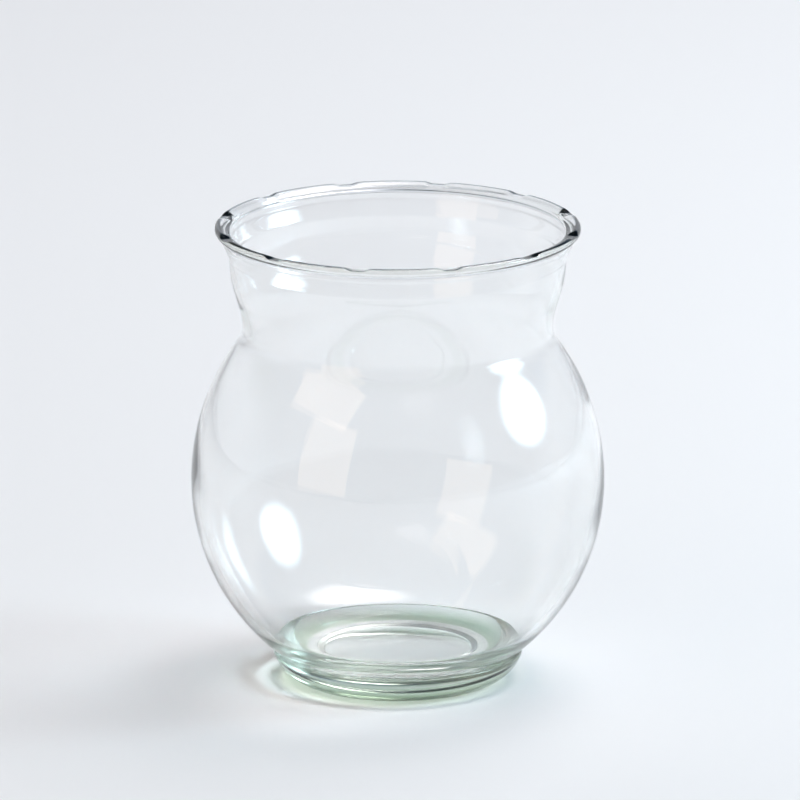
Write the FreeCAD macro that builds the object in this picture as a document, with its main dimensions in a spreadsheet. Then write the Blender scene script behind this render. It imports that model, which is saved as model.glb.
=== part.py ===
import FreeCAD, Part
import os
from collections import namedtuple

import Sketcher

# A rose bowl vase: one vessel of clear moulded glass that stands free on its foot ring.
# It is modelled zone by zone, from the foot ring up to the scalloped rim.
# Each zone meets the next on a flat level face, and all of them share one wall.
# The origin is the middle of the standing face and +Z is up.

# The driving dimensions, in millimetres and degrees.
SIZES = (
    # The foot draws in from its ledge to the ring that it stands on, round a shallow hollow that is
    # pushed up a little more towards its middle.
    ("foot_radius", 42.2),
    ("foot_height", 9.8),
    ("foot_cap", 1.0),
    ("foot_side_arc", 14.0),
    ("foot_ledge", 1.5),
    ("foot_shoulder_round", 0.7),
    ("stand_radius", 33.2),
    ("stand_round", 1.0),
    ("foot_land", 5.8),
    ("recess_depth", 1.8),
    ("recess_draft", 1.5),
    ("recess_round", 0.8),
    ("push_up", 0.8),
    # The floor of the bowl.
    ("floor_rise", 1.7),
    ("floor_inset", 2.5),
    ("floor_round", 30.0),
    # The bowl: its widest level, the belly, above the foot, and its throat above the belly.
    # The inside is widest a little higher than the outside, so the wall thickens downwards.
    ("belly_rise", 59.35),
    ("belly_radius", 70.0),
    ("belly_wall", 2.2),
    ("inner_rise", 1.0),
    ("shoulder_rise", 27.2),
    ("throat_rise", 50.25),
    ("throat_radius", 52.17),
    ("throat_wall", 2.21),
    # The neck: a hollow curve, then a swelling one to the collar, then a short straight flare to the lip.
    ("neck_wall", 2.3),
    ("hollow_rise", 12.6),
    ("hollow_flare", 2.2),
    ("hollow_arc", 43.0),
    ("collar_rise", 14.7),
    ("collar_flare", 2.6),
    ("collar_arc", 45.0),
    ("lip_rise", 5.6),
    ("lip_flare", 2.4),
    ("lip_wall", 2.9),
    # The rim: a cove above the lip, then a rounded bead that hangs out over it, its crest and the mouth.
    ("cove_rise", 1.7),
    ("cove_flare", 0.1),
    ("cove_arc", 1.7),
    ("bead_rise", 2.4),
    ("bead_overhang", 2.5),
    ("bead_round", 1.4),
    ("bead_under_angle", 70.0),
    ("bead_brow_angle", 78.0),
    ("brow_arc", 3.0),
    ("crest_lift", 0.05),
    ("crest_inset", 3.6),
    ("mouth_flare", 0.2),
    ("mouth_drop", 2.0),
    ("mouth_arc", 7.0),
    # The scallops: dips pressed down into the crest of the rim, side by side all the way round.
    ("scallops", 12),
    ("scallop_turn_angle", 17.0),
    ("scallop_depth", 0.9),
    ("scallop_floor", 3.8),
    ("scallop_side", 3.0),
    ("scallop_overrun", 3.0),
)

# The levels of the vase, each built on the one below.
FOOT_TOP = "Dim.foot_height"
FLOOR = f"({FOOT_TOP} + Dim.floor_rise)"
BASE_TOP = f"({FLOOR} + Dim.floor_round)"
BELLY = f"({FOOT_TOP} + Dim.belly_rise)"
SHOULDER = f"({BELLY} + Dim.shoulder_rise)"
THROAT = f"({BELLY} + Dim.throat_rise)"
HOLLOW_TOP = f"({THROAT} + Dim.hollow_rise)"
COLLAR = f"({HOLLOW_TOP} + Dim.collar_rise)"
LIP = f"({COLLAR} + Dim.lip_rise)"
COVE_TOP = f"({LIP} + Dim.cove_rise)"
BEAD = f"({COVE_TOP} + Dim.bead_rise)"
CREST = f"({BEAD} + Dim.bead_round + Dim.crest_lift)"

# Its radii at those levels, from the ones that they line up with.
SEAT_RADIUS = "(Dim.foot_radius - Dim.foot_ledge)"
RECESS_RADIUS = "(Dim.stand_radius - Dim.foot_land)"
RECESS_TOP_RADIUS = f"({RECESS_RADIUS} - Dim.recess_draft)"
FLOOR_RADIUS = f"({SEAT_RADIUS} - Dim.floor_inset)"
HOLLOW_TOP_RADIUS = "(Dim.throat_radius + Dim.hollow_flare)"
COLLAR_RADIUS = f"({HOLLOW_TOP_RADIUS} + Dim.collar_flare)"
LIP_RADIUS = f"({COLLAR_RADIUS} + Dim.lip_flare)"
LIP_INSIDE = f"({LIP_RADIUS} - Dim.lip_wall)"
MOUTH_RADIUS = f"({LIP_INSIDE} + Dim.mouth_flare)"

# The bowl's wall is widest at a crown, outside and inside, and each side of a crown is one arc that
# leaves it straight up or down. A place is a radius and a height.
OUTER_CROWN = ("Dim.belly_radius", BELLY)
OUTER_SEAT = (SEAT_RADIUS, FOOT_TOP)
OUTER_THROAT = ("Dim.throat_radius", THROAT)
INNER_CROWN = ("(Dim.belly_radius - Dim.belly_wall)", f"({BELLY} + Dim.inner_rise)")
INNER_FLOOR = (FLOOR_RADIUS, FLOOR)
INNER_THROAT = ("(Dim.throat_radius - Dim.throat_wall)", THROAT)

# An outline's edge runs straight to the next corner, or as an arc that swells out of the glass
# or is hollowed into it.
SWELLING = "swelling"
HOLLOW = "hollow"
Corner = namedtuple("Corner", "across up arc bend", defaults=(None, SWELLING))

ORIGIN_POINT = (-1, 1)
ON_AXIS = "0"
SAME_RING_share = 1e-5
FULL_TURN = 360

os.makedirs("parts", exist_ok=True)
doc = FreeCAD.newDocument("rose_bowl_vase")
sheet = doc.addObject("Spreadsheet::Sheet", "Dim")
for row, (alias, value) in enumerate(SIZES, start=1):
    sheet.set(f"A{row}", alias)
    sheet.set(f"B{row}", str(value))
    sheet.setAlias(f"B{row}", alias)
doc.recompute()


def value_of(expression):
    """The number that an expression over the sheet gives."""
    return float(sheet.evalExpression(expression))


def arc_from(crown, end):
    """The radius of the arc that leaves a crown straight up or down and passes an end."""
    inset = f"({crown[0]} - {end[0]})"
    rise = f"({crown[1]} - {end[1]})"
    return f"(({inset} ^ 2 + {rise} ^ 2) / (2 * {inset}))"


def radius_at(height, crown, end):
    """The radius at a height on the arc from a crown to an end."""
    arc = arc_from(crown, end)
    return f"({crown[0]} - {arc} + sqrt({arc} ^ 2 - ({height} - {crown[1]}) ^ 2))"


def edge_between(start, end, corner):
    """The line or arc that leaves a corner. With the glass on its left, a swelling arc bulges to its right."""
    if corner.arc is None:
        return Part.LineSegment(start, end)
    radius = value_of(corner.arc)
    chord = end - start
    sag = radius - (radius**2 - (chord.Length / 2) ** 2) ** 0.5
    aside = FreeCAD.Vector(chord.y, -chord.x, 0).normalize() * sag
    if corner.bend == HOLLOW:
        aside = -aside
    return Part.Arc(start, (start + end) / 2 + aside, end)


def bind(sketch, kind, points, expression):
    """Adds a dimension to a sketch and ties it to the sheet."""
    number = sketch.addConstraint(Sketcher.Constraint(kind, *points, value_of(expression)))
    sketch.setExpression(f"Constraints[{number}]", expression)


def draw_outline(sketch, corners):
    """Draws a closed outline with the glass on its left and ties every corner and arc to the sheet."""
    places = [FreeCAD.Vector(value_of(corner.across), value_of(corner.up), 0) for corner in corners]
    following = places[1:] + places[:1]
    for corner, start, end in zip(corners, places, following):
        sketch.addGeometry(edge_between(start, end, corner))
    # A sketch keeps every arc counter-clockwise, so a hollow one starts where the outline leaves it.
    tails = [(edge, 2 if corner.bend == HOLLOW else 1) for edge, corner in enumerate(corners)]
    heads = [(edge, 1 if corner.bend == HOLLOW else 2) for edge, corner in enumerate(corners)]
    for edge, corner in enumerate(corners):
        sketch.addConstraint(Sketcher.Constraint("Coincident", *heads[edge - 1], *tails[edge]))
        # A sketch numbers its own upright axis -2 and its level axis -1.
        for kind, size, axis in (("DistanceX", corner.across, -2), ("DistanceY", corner.up, -1)):
            if size == ON_AXIS:
                sketch.addConstraint(Sketcher.Constraint("PointOnObject", *tails[edge], axis))
            else:
                bind(sketch, kind, (*ORIGIN_POINT, *tails[edge]), size)
        if corner.arc is not None:
            bind(sketch, "Radius", (edge,), corner.arc)


def add_sketch(body, name, corners):
    """An outline on the body's own upright plane, across it as X and up as Z."""
    plane = next(item for item in body.Origin.OriginFeatures if item.Role == "XZ_Plane")
    sketch = body.newObject("Sketcher::SketchObject", name)
    sketch.AttachmentSupport = (plane, [""])
    sketch.MapMode = "FlatFace"
    draw_outline(sketch, corners)
    return sketch


def turned_zone(name, corners):
    """A zone of the vessel, its outline turned once round the axis."""
    body = doc.addObject("PartDesign::Body", name)
    body.Label = name
    sketch = add_sketch(body, f"{name}_outline", corners)
    turning = body.newObject("PartDesign::Revolution", f"{name}_turning")
    turning.Profile = sketch
    turning.ReferenceAxis = (sketch, ["V_Axis"])
    turning.Angle = FULL_TURN
    doc.recompute()
    return body


def ring_edges(shape, radius, height):
    """The names of a shape's round edges that have this radius and lie at this height."""
    names = []
    for number, edge in enumerate(shape.Edges, start=1):
        if edge.Degenerated or edge.Curve.TypeId != "Part::GeomCircle":
            continue
        off = max(abs(edge.Curve.Radius - radius), abs(edge.Curve.Center.z - height))
        if off < radius * SAME_RING_share:
            names.append(f"Edge{number}")
    return names


def round_ring(body, name, radius, height, size):
    """Rounds off the round edge at a radius and height, all given as expressions."""
    base = body.Tip
    edges = ring_edges(base.Shape, value_of(radius), value_of(height))
    rounding = body.newObject("PartDesign::Fillet", name)
    rounding.Base = (base, edges)
    rounding.setExpression("Radius", size)
    doc.recompute()


def make_foot_ring():
    """The foot, which stands on a ring round its shallow hollow and is a little wider than the bowl on it."""
    push_up_arc = f"({RECESS_TOP_RADIUS} ^ 2 + Dim.push_up ^ 2) / (2 * Dim.push_up)"
    body = turned_zone(
        "foot_ring",
        (
            Corner(ON_AXIS, "Dim.recess_depth + Dim.push_up", push_up_arc, HOLLOW),
            Corner(RECESS_TOP_RADIUS, "Dim.recess_depth"),
            Corner(RECESS_RADIUS, ON_AXIS),
            Corner("Dim.stand_radius", ON_AXIS, "Dim.foot_side_arc"),
            Corner("Dim.foot_radius", f"{FOOT_TOP} - Dim.foot_cap"),
            Corner("Dim.foot_radius", FOOT_TOP),
            Corner(ON_AXIS, FOOT_TOP),
        ),
    )
    round_ring(body, "foot_heel", "Dim.stand_radius", ON_AXIS, "Dim.stand_round")
    round_ring(body, "recess_heel", RECESS_RADIUS, ON_AXIS, "Dim.recess_round")
    round_ring(body, "foot_shoulder", "Dim.foot_radius", FOOT_TOP, "Dim.foot_shoulder_round")
    return body


def make_bowl_base():
    """The base of the bowl: its floor, with a wide curve up to the wall."""
    body = turned_zone(
        "bowl_base",
        (
            Corner(ON_AXIS, FOOT_TOP),
            Corner(SEAT_RADIUS, FOOT_TOP, arc_from(OUTER_CROWN, OUTER_SEAT)),
            Corner(radius_at(BASE_TOP, OUTER_CROWN, OUTER_SEAT), BASE_TOP),
            Corner(
                radius_at(BASE_TOP, INNER_CROWN, INNER_FLOOR),
                BASE_TOP,
                arc_from(INNER_CROWN, INNER_FLOOR),
                HOLLOW,
            ),
            Corner(*INNER_FLOOR),
            Corner(ON_AXIS, FLOOR),
        ),
    )
    round_ring(body, "floor_curve", FLOOR_RADIUS, FLOOR, "Dim.floor_round")
    return body


def make_bowl_body():
    """The round of the bowl, from its base over the belly to the shoulder."""
    return turned_zone(
        "bowl_body",
        (
            Corner(radius_at(BASE_TOP, INNER_CROWN, INNER_FLOOR), BASE_TOP),
            Corner(
                radius_at(BASE_TOP, OUTER_CROWN, OUTER_SEAT),
                BASE_TOP,
                arc_from(OUTER_CROWN, OUTER_SEAT),
            ),
            Corner(*OUTER_CROWN, arc_from(OUTER_CROWN, OUTER_THROAT)),
            Corner(radius_at(SHOULDER, OUTER_CROWN, OUTER_THROAT), SHOULDER),
            Corner(
                radius_at(SHOULDER, INNER_CROWN, INNER_THROAT),
                SHOULDER,
                arc_from(INNER_CROWN, INNER_THROAT),
                HOLLOW,
            ),
            Corner(*INNER_CROWN, arc_from(INNER_CROWN, INNER_FLOOR), HOLLOW),
        ),
    )


def make_shoulder():
    """The shoulder, where the bowl draws in to the throat."""
    return turned_zone(
        "shoulder",
        (
            Corner(radius_at(SHOULDER, INNER_CROWN, INNER_THROAT), SHOULDER),
            Corner(
                radius_at(SHOULDER, OUTER_CROWN, OUTER_THROAT),
                SHOULDER,
                arc_from(OUTER_CROWN, OUTER_THROAT),
            ),
            Corner(*OUTER_THROAT),
            Corner(*INNER_THROAT, arc_from(INNER_CROWN, INNER_THROAT), HOLLOW),
        ),
    )


def make_neck():
    """The neck: it rises from a crease at the throat, curves out twice and flares to the lip."""
    return turned_zone(
        "neck",
        (
            Corner(*INNER_THROAT),
            Corner(*OUTER_THROAT, "Dim.hollow_arc", HOLLOW),
            Corner(HOLLOW_TOP_RADIUS, HOLLOW_TOP, "Dim.collar_arc"),
            Corner(COLLAR_RADIUS, COLLAR),
            Corner(LIP_RADIUS, LIP),
            Corner(LIP_INSIDE, LIP),
            Corner(
                f"{COLLAR_RADIUS} - Dim.neck_wall",
                COLLAR,
                "Dim.collar_arc - Dim.neck_wall",
                HOLLOW,
            ),
            Corner(
                f"{HOLLOW_TOP_RADIUS} - Dim.neck_wall",
                HOLLOW_TOP,
                "Dim.hollow_arc + Dim.neck_wall",
            ),
        ),
    )


def press_scallops(body):
    """Presses the ring of dips into the crest: a level floor between two sides, each an S of two arcs."""
    floor = f"{CREST} - Dim.scallop_depth"
    halfway = f"{CREST} - Dim.scallop_depth / 2"
    over = f"{CREST} + Dim.scallop_overrun"
    floor_end = "Dim.scallop_floor / 2"
    side_middle = "(Dim.scallop_floor + Dim.scallop_side) / 2"
    side_end = "(Dim.scallop_floor / 2 + Dim.scallop_side)"
    side_arc = "((Dim.scallop_side / 2) ^ 2 + (Dim.scallop_depth / 2) ^ 2) / Dim.scallop_depth"
    dip = add_sketch(
        body,
        "scallop_outline",
        (
            Corner(f"-{floor_end}", floor),
            Corner(floor_end, floor, side_arc),
            Corner(side_middle, halfway, side_arc, HOLLOW),
            Corner(side_end, CREST),
            Corner(side_end, over),
            Corner(f"-{side_end}", over),
            Corner(f"-{side_end}", CREST, side_arc, HOLLOW),
            Corner(f"-{side_middle}", halfway, side_arc),
        ),
    )
    plain_volume = body.Shape.Volume
    press = body.newObject("PartDesign::Pocket", "scallop_press")
    press.Profile = dip
    press.Type = "ThroughAll"
    press.Reversed = True
    doc.recompute()
    one_dip = plain_volume - body.Shape.Volume
    pattern = body.newObject("PartDesign::PolarPattern", "scallop_ring")
    upright = next(item for item in body.Origin.OriginFeatures if item.Role == "Z_Axis")
    pattern.Originals = [press]
    pattern.Axis = (upright, [""])
    pattern.Angle = FULL_TURN
    pattern.setExpression("Occurrences", "Dim.scallops")
    body.Tip = pattern
    doc.recompute()
    all_dips = plain_volume - body.Shape.Volume
    print(f"one dip takes {one_dip:.2f} mm3 and the ring of dips {all_dips:.2f} mm3")
    if not all_dips > one_dip > 0:
        raise RuntimeError("the scallops cut nothing")


def make_scalloped_rim():
    """The rim: cove, bead, crest and rounded mouth, with the dips pressed across the crest."""
    bead_radius = f"{LIP_RADIUS} + Dim.bead_overhang - Dim.bead_round"
    under = "Dim.bead_under_angle * 1deg"
    brow = "Dim.bead_brow_angle * 1deg"
    body = turned_zone(
        "scalloped_rim",
        (
            Corner(LIP_INSIDE, LIP),
            Corner(LIP_RADIUS, LIP),
            Corner(f"{LIP_RADIUS} + Dim.cove_flare", COVE_TOP, "Dim.cove_arc", HOLLOW),
            Corner(
                f"{bead_radius} + Dim.bead_round * cos({under})",
                f"{BEAD} - Dim.bead_round * sin({under})",
                "Dim.bead_round",
            ),
            Corner(
                f"{bead_radius} + Dim.bead_round * cos({brow})",
                f"{BEAD} + Dim.bead_round * sin({brow})",
                "Dim.brow_arc",
            ),
            Corner(f"{MOUTH_RADIUS} + Dim.crest_inset", CREST, "Dim.mouth_arc"),
            Corner(MOUTH_RADIUS, f"{CREST} - Dim.mouth_drop"),
        ),
    )
    press_scallops(body)
    turn = FreeCAD.Rotation(FreeCAD.Vector(0, 0, 1), value_of("Dim.scallop_turn_angle"))
    body.Placement = FreeCAD.Placement(FreeCAD.Vector(0, 0, 0), turn)
    body.setExpression("Placement.Rotation.Angle", "Dim.scallop_turn_angle * 1deg")
    return body


zones = (
    make_foot_ring(),
    make_bowl_base(),
    make_bowl_body(),
    make_shoulder(),
    make_neck(),
    make_scalloped_rim(),
)
doc.recompute()

failed = [item.Name for item in doc.Objects if "Invalid" in item.State or "Error" in item.State]
if failed:
    raise RuntimeError(f"these objects failed: {failed}")
for zone in zones:
    shape = zone.Shape
    if shape.isNull() or not shape.isValid() or len(shape.Solids) != 1:
        raise RuntimeError(f"{zone.Label} is not one valid solid")
for zone in zones:
    box = zone.Shape.optimalBoundingBox(True, False)
    print(f"{zone.Label}: {zone.Shape.Volume:.1f} mm3, up from {box.ZMin:.2f} to {box.ZMax:.2f}")
    zone.Shape.exportStep(f"parts/{zone.Label}.step")
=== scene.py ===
import math

import bpy
import numpy as np
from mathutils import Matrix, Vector


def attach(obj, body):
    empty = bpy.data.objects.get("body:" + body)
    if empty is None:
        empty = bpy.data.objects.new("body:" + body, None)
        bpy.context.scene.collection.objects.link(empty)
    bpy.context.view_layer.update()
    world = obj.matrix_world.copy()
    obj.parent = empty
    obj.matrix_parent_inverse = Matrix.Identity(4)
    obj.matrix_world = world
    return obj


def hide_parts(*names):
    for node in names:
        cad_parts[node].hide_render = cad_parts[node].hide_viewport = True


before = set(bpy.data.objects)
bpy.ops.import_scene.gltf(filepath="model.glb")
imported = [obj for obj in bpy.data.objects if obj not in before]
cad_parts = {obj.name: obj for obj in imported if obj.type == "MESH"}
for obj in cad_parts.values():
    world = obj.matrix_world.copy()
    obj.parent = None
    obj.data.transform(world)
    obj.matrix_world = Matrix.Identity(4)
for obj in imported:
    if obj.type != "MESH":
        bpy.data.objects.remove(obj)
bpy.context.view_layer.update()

# Sizes of the glass are in millimetres, and become metres through MM. All others are in metres.
MM = 0.001
ZONES = ("foot_ring", "bowl_base", "bowl_body", "shoulder", "neck", "scalloped_rim")

# The outline's corners and arcs, which are those of the solids.
FOOT_RADIUS = 42.2
FOOT_HEIGHT = 9.8
FOOT_CAP = 1.0
FOOT_SIDE_ARC = 14.0
FOOT_LEDGE = 1.5
STAND_RADIUS = 33.2
FOOT_LAND = 5.8
RECESS_DEPTH = 1.8
RECESS_DRAFT = 1.5
PUSH_UP = 0.8
FLOOR_RISE = 1.7
FLOOR_INSET = 2.5
FLOOR_ROUND = 30.0
BELLY_RISE = 59.35
BELLY_RADIUS = 70.0
BELLY_WALL = 2.2
INNER_RISE = 1.0
THROAT_RISE = 50.25
THROAT_RADIUS = 52.17
THROAT_WALL = 2.21
NECK_WALL = 2.3
HOLLOW_RISE = 12.6
HOLLOW_FLARE = 2.2
HOLLOW_ARC = 43.0
COLLAR_RISE = 14.7
COLLAR_FLARE = 2.6
COLLAR_ARC = 45.0
LIP_RISE = 5.6
LIP_FLARE = 2.4
LIP_WALL = 2.9
COVE_RISE = 1.7
COVE_FLARE = 0.1
COVE_ARC = 1.7
BEAD_RISE = 2.4
BEAD_OVERHANG = 2.5
BEAD_ROUND = 1.4
BEAD_UNDER = math.radians(70)
BEAD_BROW = math.radians(78)
BROW_ARC = 3.0
CREST_LIFT = 0.05
CREST_INSET = 3.6
MOUTH_FLARE = 0.2
MOUTH_DROP = 2.0
MOUTH_ARC = 7.0

# The dips in the crest.
SCALLOPS = 12
SCALLOP_TURN = math.radians(17.0)
SCALLOP_DEPTH = 0.9
SCALLOP_FLOOR = 3.8
SCALLOP_SIDE = 3.0
SCALLOP_SOFTNESS = 0.35

THROAT_LEVEL = FOOT_HEIGHT + BELLY_RISE + THROAT_RISE
BEAD_LEVEL = THROAT_LEVEL + HOLLOW_RISE + COLLAR_RISE + LIP_RISE + COVE_RISE + BEAD_RISE

# How softly the moulded glass's creases are rounded, with more within reach of the throat and the stand.
CREASE_SOFTNESS = 0.35
THROAT_SOFTNESS = 2.6
THROAT_REACH = 8.0
FOOT_SOFTNESS = 0.8
FOOT_REACH = 2.5

# How finely the glass is meshed.
AROUND = 360
FINE_STEP = 0.1
WIDEST_STEP = 1.6
TURN_PER_STEP = 9.0
FINEST_STEP = 0.12

# The inside of the glass is a little uneven: its ripples' height, over how far they fade out below the rim,
# and the height that they start at. Each wave has a share, a count round the bowl, a climb and a start.
RIPPLE = 0.07
RIPPLE_FADE = 8.0
RIPPLE_FROM = 45.0
RIPPLE_WAVES = ((1, 3, 9, 0.7), (0.6, 5, -6, 2.1), (0.35, 8, 4, 4.0))

# The glass: how it bends light, and the faint colour of its body.
GLASS_BEND = 1.52
GLASS_TINT = (0.25, 0.47, 0.28)
GLASS_TINT_DENSITY = 6.5

# The rim's painted dark line by the distance from the axis, above the bead's middle. It is painted shade,
# which stands in for the dark room that the crest refracts.
RIM_PAINTED_LINE_BLEND = 0.3
RIM_PAINTED_LINE_FROM = 59.4
RIM_PAINTED_LINE_TO = 62.0
RIM_PAINTED_DARK_LINE = (
    (0.0, (1.0, 1.0, 1.0)),
    (0.1, (1.0, 1.0, 1.0)),
    (0.26, (0.09, 0.11, 0.14)),
    (0.58, (0.09, 0.11, 0.14)),
    (0.76, (0.85, 0.84, 0.8)),
    (1.0, (0.78, 0.78, 0.75)),
)

# The foot's side tinted by its height: greener and darker towards the floor, with a darker line at its
# shoulder. It is partly the green of a long way through the glass and partly painted shade.
FOOT_TINT_AND_SHADE_BLEND = 1.0
FOOT_TINT_AND_PAINTED_SHADE = (
    (0.0, (0.42, 0.56, 0.38)),
    (0.2, (0.38, 0.54, 0.34)),
    (0.6, (0.78, 0.86, 0.76)),
    (0.84, (0.96, 0.97, 0.96)),
    (0.92, (0.5, 0.62, 0.48)),
    (1.0, (1.0, 1.0, 1.0)),
)

# The floor: half its width, its colour and its roughness.
FLOOR_HALF = 4
FLOOR_COLOR = (0.86, 0.87, 0.88)
FLOOR_ROUGHNESS = 0.9

# The lights' names, azimuths and elevations in degrees, distances, sizes, glows, colours, and where their
# edges are soft, the bright core's share of the half width. They face a point on the vase's axis.
LIGHTS = (
    ("cool_light", 90, 24, 2.4, (1.61, 1.32), 25.5, (0.72, 0.9, 1), 0.1),
    ("softbox", 144, 64, 2.8, (2.4, 2.4), 8.2, (1, 0.945, 0.945), 0.3),
    ("warm_light", -43, 17, 2.5, (1.3, 1.45), 1.1, (1, 0.76, 0.56), None),
    ("warm_bar", -57, 43, 2.5, (1.7, 0.95), 1.2, (1, 0.76, 0.56), None),
)
LIGHT_AIM = 0.07

# The camera, and where the vase's axis and the floor under it fall in the picture.
FRAME_PIXELS = 800
SENSOR = 36
CAMERA_DISTANCE = 6.0
CAMERA_PITCH = 0.26
PIXELS_PER_METRE = 2957
AXIS_PIXEL = 397.8
STAND_PIXEL = 676

# Over which part of the way across, and of the way from front to back, the surroundings' colours blend.
ROOM_ACROSS = 0.5
ROOM_DEEP = 0.3

# The surroundings' colours by the sine of the elevation: on the camera's side, and past the vase on the
# left and on the right.
ROOM_FRONT = (
    (0.0, (0.3, 0.31, 0.33)),
    (0.3, (0.14, 0.15, 0.17)),
    (1.0, (0.05, 0.06, 0.08)),
)
ROOM_LEFT = (
    (0.0, (0.74, 0.76, 0.8)),
    (0.27, (0.72, 0.74, 0.78)),
    (0.4, (0.22, 0.25, 0.22)),
    (0.5, (0.03, 0.045, 0.03)),
    (1.0, (0.03, 0.04, 0.03)),
)
ROOM_RIGHT = (
    (0.0, (0.76, 0.8, 0.86)),
    (0.27, (0.74, 0.78, 0.84)),
    (0.38, (0.2, 0.3, 0.42)),
    (0.5, (0.015, 0.05, 0.12)),
    (1.0, (0.015, 0.03, 0.06)),
)


def arc(start, end, radius, swell, count):
    """Points of the arc between two places, bulging to the right of the way along it where swell is 1."""
    start = np.array(start, float)
    end = np.array(end, float)
    chord = end - start
    length = np.hypot(*chord)
    aside = np.array([chord[1], -chord[0]]) / length
    centre = (start + end) / 2 - aside * swell * math.sqrt(radius**2 - length**2 / 4)
    first = math.atan2(*(start - centre)[::-1])
    last = math.atan2(*(end - centre)[::-1])
    turn = (last - first + math.pi) % (2 * math.pi) - math.pi
    angles = first + turn * np.linspace(0, 1, count)
    return centre + radius * np.stack([np.cos(angles), np.sin(angles)], 1)


def run(start, end, count=2):
    """Points of the straight run between two places."""
    return np.linspace(start, end, count)


def crown_arc(crown, end):
    """The radius of the arc that leaves a crown straight up or down and passes an end."""
    inset = crown[0] - end[0]
    return (inset**2 + (crown[1] - end[1]) ** 2) / (2 * inset)


def outline():
    """The glass's outline from the axis underneath, over the rim and down to the floor's middle inside."""
    seat = (FOOT_RADIUS - FOOT_LEDGE, FOOT_HEIGHT)
    shoulder = (FOOT_RADIUS, FOOT_HEIGHT - FOOT_CAP)
    recess = STAND_RADIUS - FOOT_LAND
    recess_top = (recess - RECESS_DRAFT, RECESS_DEPTH)
    push_arc = (recess_top[0] ** 2 + PUSH_UP**2) / (2 * PUSH_UP)
    crown = (BELLY_RADIUS, FOOT_HEIGHT + BELLY_RISE)
    throat = (THROAT_RADIUS, crown[1] + THROAT_RISE)
    hollow = (throat[0] + HOLLOW_FLARE, throat[1] + HOLLOW_RISE)
    collar = (hollow[0] + COLLAR_FLARE, hollow[1] + COLLAR_RISE)
    lip = (collar[0] + LIP_FLARE, collar[1] + LIP_RISE)
    cove = (lip[0] + COVE_FLARE, lip[1] + COVE_RISE)
    bead = (lip[0] + BEAD_OVERHANG - BEAD_ROUND, cove[1] + BEAD_RISE)
    under = (bead[0] + BEAD_ROUND * math.cos(BEAD_UNDER), bead[1] - BEAD_ROUND * math.sin(BEAD_UNDER))
    brow = (bead[0] + BEAD_ROUND * math.cos(BEAD_BROW), bead[1] + BEAD_ROUND * math.sin(BEAD_BROW))
    mouth_radius = lip[0] - LIP_WALL + MOUTH_FLARE
    crest = (mouth_radius + CREST_INSET, bead[1] + BEAD_ROUND + CREST_LIFT)
    mouth = (mouth_radius, crest[1] - MOUTH_DROP)
    lip_inside = (lip[0] - LIP_WALL, lip[1])
    collar_inside = (collar[0] - NECK_WALL, collar[1])
    hollow_inside = (hollow[0] - NECK_WALL, hollow[1])
    throat_inside = (throat[0] - THROAT_WALL, throat[1])
    inner_crown = (crown[0] - BELLY_WALL, crown[1] + INNER_RISE)
    floor = (seat[0] - FLOOR_INSET, FOOT_HEIGHT + FLOOR_RISE)
    wall_arc = crown_arc(inner_crown, floor)
    wall_middle = inner_crown[0] - wall_arc
    curve_up = floor[1] + FLOOR_ROUND
    reach = wall_arc - FLOOR_ROUND
    curve_across = wall_middle + math.sqrt(reach**2 - (inner_crown[1] - curve_up) ** 2)
    towards = ((curve_across - wall_middle) / reach, (curve_up - inner_crown[1]) / reach)
    wall_foot = (wall_middle + wall_arc * towards[0], inner_crown[1] + wall_arc * towards[1])
    stretches = (
        arc((0, RECESS_DEPTH + PUSH_UP), recess_top, push_arc, -1, 60),
        run(recess_top, (recess, 0), 8),
        run((recess, 0), (STAND_RADIUS, 0), 8),
        arc((STAND_RADIUS, 0), shoulder, FOOT_SIDE_ARC, 1, 30),
        run(shoulder, (FOOT_RADIUS, FOOT_HEIGHT), 4),
        run((FOOT_RADIUS, FOOT_HEIGHT), seat, 5),
        arc(seat, crown, crown_arc(crown, seat), 1, 200),
        arc(crown, throat, crown_arc(crown, throat), 1, 200),
        arc(throat, hollow, HOLLOW_ARC, -1, 40),
        arc(hollow, collar, COLLAR_ARC, 1, 40),
        run(collar, lip, 16),
        run(lip, cove, 6),
        arc(cove, under, COVE_ARC, -1, 10),
        arc(under, brow, BEAD_ROUND, 1, 24),
        arc(brow, crest, BROW_ARC, 1, 16),
        arc(crest, mouth, MOUTH_ARC, 1, 20),
        run(mouth, lip_inside, 8),
        run(lip_inside, collar_inside, 16),
        arc(collar_inside, hollow_inside, COLLAR_ARC - NECK_WALL, -1, 40),
        arc(hollow_inside, throat_inside, HOLLOW_ARC + NECK_WALL, 1, 40),
        arc(throat_inside, inner_crown, crown_arc(inner_crown, throat_inside), -1, 200),
        arc(inner_crown, wall_foot, wall_arc, -1, 160),
        arc(wall_foot, (curve_across, floor[1]), FLOOR_ROUND, -1, 50),
        run((curve_across, floor[1]), (0, floor[1]), 60),
    )
    return np.concatenate([stretches[0]] + [stretch[1:] for stretch in stretches[1:]])


def blurred(across, up, softness):
    """An evenly stepped outline, blurred along its length and mirrored past the axis at its ends."""
    reach = int(4 * softness / FINE_STEP)
    weights = np.exp(-0.5 * (np.arange(-reach, reach + 1) * FINE_STEP / softness) ** 2)
    weights /= weights.sum()
    below, above = slice(reach, 0, -1), slice(-2, -reach - 2, -1)
    across = np.convolve(np.concatenate([-across[below], across, -across[above]]), weights, "valid")
    up = np.convolve(np.concatenate([up[below], up, up[above]]), weights, "valid")
    across[0] = across[-1] = 0
    return across, up


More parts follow.
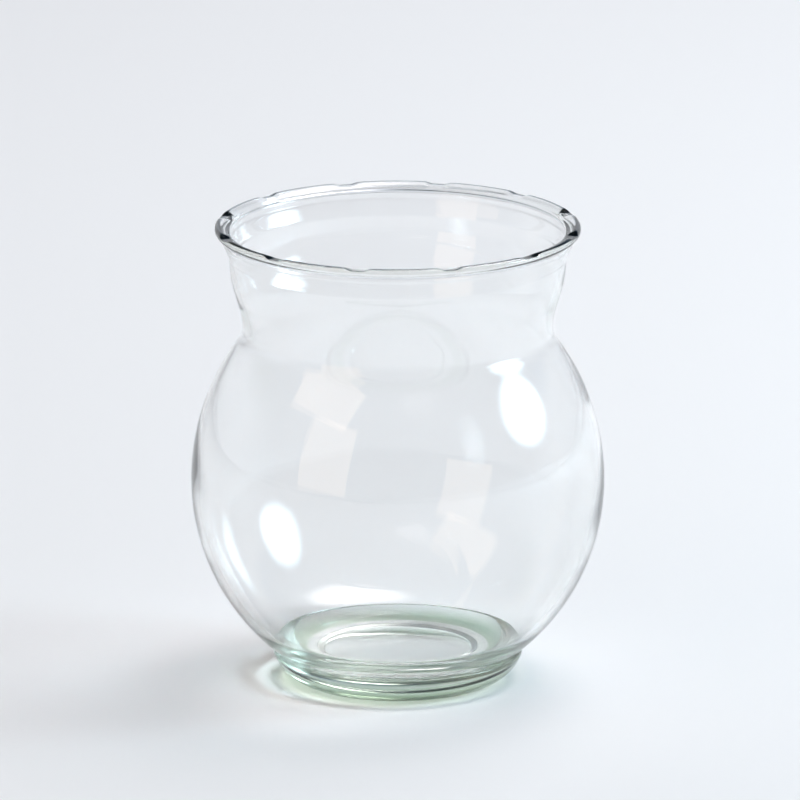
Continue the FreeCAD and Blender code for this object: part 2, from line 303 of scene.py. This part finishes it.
def softened(points):
    """The outline with its creases rounded, in rows that come closer together where it turns faster."""
    lengths = np.hypot(*np.diff(points, axis=0).T)
    along = np.concatenate([[0], np.cumsum(lengths)])
    even = np.linspace(0, along[-1], int(along[-1] / FINE_STEP) + 1)
    across = np.interp(even, along, points[:, 0])
    up = np.interp(even, along, points[:, 1])
    wide_across, wide_up = blurred(across, up, THROAT_SOFTNESS)
    near_throat = np.exp(-(((up - THROAT_LEVEL) / THROAT_REACH) ** 2))
    foot_across, foot_up = blurred(across, up, FOOT_SOFTNESS)
    near_floor = np.exp(-((up / FOOT_REACH) ** 2))
    across, up = blurred(across, up, CREASE_SOFTNESS)
    across = across + (wide_across - across) * near_throat + (foot_across - across) * near_floor
    up = up + (wide_up - up) * near_throat + (foot_up - up) * near_floor
    heading = np.unwrap(np.arctan2(np.gradient(up), np.gradient(across)))
    turning = np.abs(np.gradient(heading)) / FINE_STEP
    density = np.minimum(1 / WIDEST_STEP + turning * TURN_PER_STEP, 1 / FINEST_STEP)
    rows = np.concatenate([[0], np.cumsum((density[1:] + density[:-1]) / 2 * FINE_STEP)])
    chosen = np.interp(np.linspace(0, rows[-1], int(rows[-1]) + 1), rows, np.arange(len(across)))
    places = np.arange(len(across))
    return np.stack([np.interp(chosen, places, across), np.interp(chosen, places, up)], 1)


def soft_lower(first, second, softness):
    """The lower of two heights, with the corner between them rounded."""
    mix = np.clip(0.5 + 0.5 * (second - first) / softness, 0, 1)
    return second + (first - second) * mix - softness * mix * (1 - mix)


def dipped(radius, angle, up):
    """Heights with the dips pressed into the crest, each level across its middle."""
    pitch = 2 * math.pi / SCALLOPS
    turn = SCALLOP_TURN - math.pi / 2
    off = (angle - turn + pitch / 2) % pitch - pitch / 2
    aside = np.abs(radius * np.sin(off))
    side = np.clip((aside - SCALLOP_FLOOR / 2) / SCALLOP_SIDE, 0, 1)
    side = side * side * (3 - 2 * side)
    crest = up.max()
    limit = crest - SCALLOP_DEPTH * (1 - side)
    reached = (up > crest - 2 * MOUTH_DROP) & (aside <= SCALLOP_FLOOR / 2 + SCALLOP_SIDE + 1)
    return np.where(reached, soft_lower(up, limit, SCALLOP_SOFTNESS), up)


def rippled(radius, angle, up):
    """Radii with gentle ripples on the inside of the bowl, which fade out towards the rim and the base."""
    crest_row = int(np.argmax(up[:, 0]))
    inside = (np.arange(len(up)) > crest_row)[:, None]
    below = np.clip((up.max() - RIPPLE_FADE - up) / RIPPLE_FADE, 0, 1)
    above = np.clip((up - RIPPLE_FROM) / (2 * RIPPLE_FADE), 0, 1)
    ripple = sum(
        share * np.sin(count * angle + up / climb + start) for share, count, climb, start in RIPPLE_WAVES
    )
    return radius + RIPPLE * ripple * inside * below * above


def make_vessel():
    """The whole vessel as one closed skin, so that light bends only where it enters or leaves the glass."""
    rows = softened(outline())
    angles = np.arange(AROUND) / AROUND * 2 * math.pi
    radius, angle = np.meshgrid(rows[1:-1, 0], angles, indexing="ij")
    up = np.repeat(rows[1:-1, 1][:, None], AROUND, 1)
    up = dipped(radius, angle, up)
    radius = rippled(radius, angle, up)
    points = np.stack([radius * np.cos(angle), radius * np.sin(angle), up], -1).reshape(-1, 3)
    poles = [[0, 0, rows[0, 1]], [0, 0, rows[-1, 1]]]
    points = np.concatenate([points, poles]) * MM
    count = len(rows) - 2
    row = np.arange(count - 1)[:, None] * AROUND
    here = np.arange(AROUND)[None]
    after = (here + 1) % AROUND
    corners = [row + here, row + after, row + AROUND + after, row + AROUND + here]
    quads = np.stack(corners, -1).reshape(-1, 4)
    under, inside = count * AROUND, count * AROUND + 1
    last = (count - 1) * AROUND
    here, after = here[0], after[0]
    caps = np.concatenate(
        [
            np.stack([np.full(AROUND, under), after, here], -1),
            np.stack([np.full(AROUND, inside), last + here, last + after], -1),
        ]
    )
    mesh = bpy.data.meshes.new("vessel")
    mesh.from_pydata(points.tolist(), [], quads.tolist() + caps.tolist())
    mesh.update()
    mesh.polygons.foreach_set("use_smooth", [True] * len(mesh.polygons))
    vessel = bpy.data.objects.new("vessel", mesh)
    bpy.context.scene.collection.objects.link(vessel)
    return vessel


def fill_ramp(ramp, tones):
    """Sets a colour ramp's stops to a table of places and colours."""
    while len(ramp.elements) > 1:
        ramp.elements.remove(ramp.elements[-1])
    for number, (place, shade) in enumerate(tones):
        mark = ramp.elements[0] if number == 0 else ramp.elements.new(place)
        mark.position = place
        mark.color = (*shade, 1)


def toned(tree, value, tones, start=0, end=1):
    """A colour from a table by a value, whose run from start to end is the whole table."""
    nodes, links = tree
    spread = nodes.new("ShaderNodeMapRange")
    spread.inputs["From Min"].default_value = start
    spread.inputs["From Max"].default_value = end
    links.new(value, spread.inputs["Value"])
    tone = nodes.new("ShaderNodeValToRGB")
    fill_ramp(tone.color_ramp, tones)
    links.new(spread.outputs["Result"], tone.inputs["Fac"])
    return tone.outputs["Color"]


def blended(tree, value, start, end, shades):
    """A colour that passes from one shade to another while a value runs from start to end."""
    nodes, links = tree
    spread = nodes.new("ShaderNodeMapRange")
    spread.interpolation_type = "SMOOTHSTEP"
    spread.inputs["From Min"].default_value = start
    spread.inputs["From Max"].default_value = end
    links.new(value, spread.inputs["Value"])
    blend = nodes.new("ShaderNodeMix")
    blend.data_type = "RGBA"
    links.new(spread.outputs["Result"], blend.inputs[0])
    for socket, shade in zip((6, 7), shades):
        if isinstance(shade, tuple):
            blend.inputs[socket].default_value = (*shade, 1)
        else:
            links.new(shade, blend.inputs[socket])
    return blend.outputs[2]


def glass_material():
    """Clear glass with a faint green body colour, a green tint with painted shade on the foot's side, and a
    painted dark line on the rim's crest.
    """
    material = bpy.data.materials.new("clear_glass")
    material.use_nodes = True
    nodes, links = material.node_tree.nodes, material.node_tree.links
    tree = (nodes, links)
    shader = nodes["Principled BSDF"]
    shader.inputs["Transmission Weight"].default_value = 1
    shader.inputs["Roughness"].default_value = 0
    shader.inputs["IOR"].default_value = GLASS_BEND
    place = nodes.new("ShaderNodeTexCoord")
    parts = nodes.new("ShaderNodeSeparateXYZ")
    links.new(place.outputs["Object"], parts.inputs["Vector"])
    flat = nodes.new("ShaderNodeCombineXYZ")
    links.new(parts.outputs["X"], flat.inputs["X"])
    links.new(parts.outputs["Y"], flat.inputs["Y"])
    length = nodes.new("ShaderNodeVectorMath")
    length.operation = "LENGTH"
    links.new(flat.outputs["Vector"], length.inputs[0])
    radius, height = length.outputs["Value"], parts.outputs["Z"]
    # Partly tint, partly painted shade: the foot's side is made greener and darker towards the floor, with
    # a darker line painted at its shoulder.
    foot_tint_and_shade = toned(tree, height, FOOT_TINT_AND_PAINTED_SHADE, 0, FOOT_HEIGHT * MM)
    # Painted shade: a dark line painted round the rim's crest by the distance from the axis, standing in
    # for the dark room that the crest refracts.
    rim_painted_line = toned(tree, radius, RIM_PAINTED_DARK_LINE, RIM_PAINTED_LINE_FROM * MM, RIM_PAINTED_LINE_TO * MM)
    foot_shade_start = (STAND_RADIUS - FOOT_TINT_AND_SHADE_BLEND) * MM
    foot = blended(tree, radius, foot_shade_start, STAND_RADIUS * MM, ((1, 1, 1), foot_tint_and_shade))
    rim_painted_line_start = (BEAD_LEVEL - RIM_PAINTED_LINE_BLEND) * MM
    whole = blended(tree, height, rim_painted_line_start, BEAD_LEVEL * MM, (foot, rim_painted_line))
    links.new(whole, shader.inputs["Base Color"])
    tint = nodes.new("ShaderNodeVolumeAbsorption")
    tint.inputs["Color"].default_value = (*GLASS_TINT, 1)
    tint.inputs["Density"].default_value = GLASS_TINT_DENSITY
    links.new(tint.outputs["Volume"], nodes["Material Output"].inputs["Volume"])
    return material


def make_camera():
    """A distant camera with a long lens, at the photograph's viewing angle."""
    data = bpy.data.cameras.new("camera")
    data.sensor_width = SENSOR
    data.lens = SENSOR * PIXELS_PER_METRE * CAMERA_DISTANCE / math.cos(CAMERA_PITCH) / FRAME_PIXELS
    data.shift_x = (FRAME_PIXELS / 2 - AXIS_PIXEL) / FRAME_PIXELS
    aim = (STAND_PIXEL - FRAME_PIXELS / 2) / PIXELS_PER_METRE / math.cos(CAMERA_PITCH)
    camera = bpy.data.objects.new("camera", data)
    camera.location = (0, -CAMERA_DISTANCE, CAMERA_DISTANCE * math.tan(CAMERA_PITCH) + aim)
    camera.rotation_euler = (math.pi / 2 - CAMERA_PITCH, 0, 0)
    bpy.context.scene.collection.objects.link(camera)
    bpy.context.scene.camera = camera


def make_floor():
    """A plain pale floor."""
    mesh = bpy.data.meshes.new("floor")
    corners = [(-1, -1, 0), (1, -1, 0), (1, 1, 0), (-1, 1, 0)]
    mesh.from_pydata([(FLOOR_HALF * x, FLOOR_HALF * y, z) for x, y, z in corners], [], [(0, 1, 2, 3)])
    material = bpy.data.materials.new("floor_paper")
    material.use_nodes = True
    shader = material.node_tree.nodes["Principled BSDF"]
    shader.inputs["Base Color"].default_value = (*FLOOR_COLOR, 1)
    shader.inputs["Roughness"].default_value = FLOOR_ROUGHNESS
    shader.inputs["Specular IOR Level"].default_value = 0
    mesh.materials.append(material)
    floor = bpy.data.objects.new("floor", mesh)
    bpy.context.scene.collection.objects.link(floor)


def soften_edges(data, core):
    """Makes a panel's glow fade from a core, a share of its half width, to nothing at its rim."""
    data.use_nodes = True
    nodes, links = data.node_tree.nodes, data.node_tree.links
    place = nodes.new("ShaderNodeNewGeometry")
    middle = nodes.new("ShaderNodeVectorMath")
    middle.operation = "DISTANCE"
    middle.inputs[1].default_value = (0.5, 0.5, 0)
    fade = nodes.new("ShaderNodeMapRange")
    fade.interpolation_type = "SMOOTHSTEP"
    fade.inputs["From Min"].default_value = core / 2
    fade.inputs["From Max"].default_value = 0.5
    fade.inputs["To Min"].default_value = 1
    fade.inputs["To Max"].default_value = 0
    links.new(place.outputs["Parametric"], middle.inputs[0])
    links.new(middle.outputs["Value"], fade.inputs["Value"])
    links.new(fade.outputs["Result"], nodes["Emission"].inputs["Strength"])


def panel(name, azimuth, elevation, distance, size, glow, color, core):
    """A panel light that faces the vase. Azimuth turns from the camera's side to the right."""
    data = bpy.data.lights.new(name, "AREA")
    data.shape = "RECTANGLE"
    data.size, data.size_y = size
    data.energy = glow * math.pi * size[0] * size[1]
    data.color = color
    if core is not None:
        soften_edges(data, core)
    light = bpy.data.objects.new(name, data)
    across, up = math.radians(azimuth), math.radians(elevation)
    way = Vector((math.sin(across) * math.cos(up), -math.cos(across) * math.cos(up), math.sin(up)))
    light.location = Vector((0, 0, LIGHT_AIM)) + way * distance
    light.rotation_euler = (-way).to_track_quat("-Z", "Y").to_euler()
    bpy.context.scene.collection.objects.link(light)


def make_room():
    """Surroundings that are dark above and on the camera's side, and pale past the vase lower down."""
    world = bpy.data.worlds.new("room")
    world.use_nodes = True
    nodes, links = world.node_tree.nodes, world.node_tree.links
    tree = (nodes, links)
    way = nodes.new("ShaderNodeTexCoord")
    parts = nodes.new("ShaderNodeSeparateXYZ")
    links.new(way.outputs["Generated"], parts.inputs["Vector"])
    across, deep, up = (parts.outputs[axis] for axis in "XYZ")
    front, left, right = (toned(tree, up, tones) for tones in (ROOM_FRONT, ROOM_LEFT, ROOM_RIGHT))
    past = blended(tree, across, -ROOM_ACROSS, ROOM_ACROSS, (left, right))
    whole = blended(tree, deep, -ROOM_DEEP, ROOM_DEEP, (front, past))
    links.new(whole, nodes["Background"].inputs["Color"])
    nodes["Background"].inputs["Strength"].default_value = 1
    bpy.context.scene.world = world


def make_light():
    """A cool light on the right, a wide softbox above and behind, and two dim warm lights on the left."""
    make_room()
    for light in LIGHTS:
        panel(*light)
    bpy.context.scene.view_settings.view_transform = "Standard"


def trace_clear_glass():
    """Lets light cross the thick base many times, and keeps its brightness there unclamped."""
    cycles = bpy.context.scene.cycles
    cycles.max_bounces = 32
    cycles.transmission_bounces = 32
    cycles.glossy_bounces = 16
    cycles.diffuse_bounces = 4
    cycles.blur_glossy = 0
    cycles.sample_clamp_indirect = 0


make_camera()
make_floor()
make_light()
trace_clear_glass()
vessel = make_vessel()
vessel.data.materials.append(glass_material())
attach(vessel, "root")
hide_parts(*ZONES)
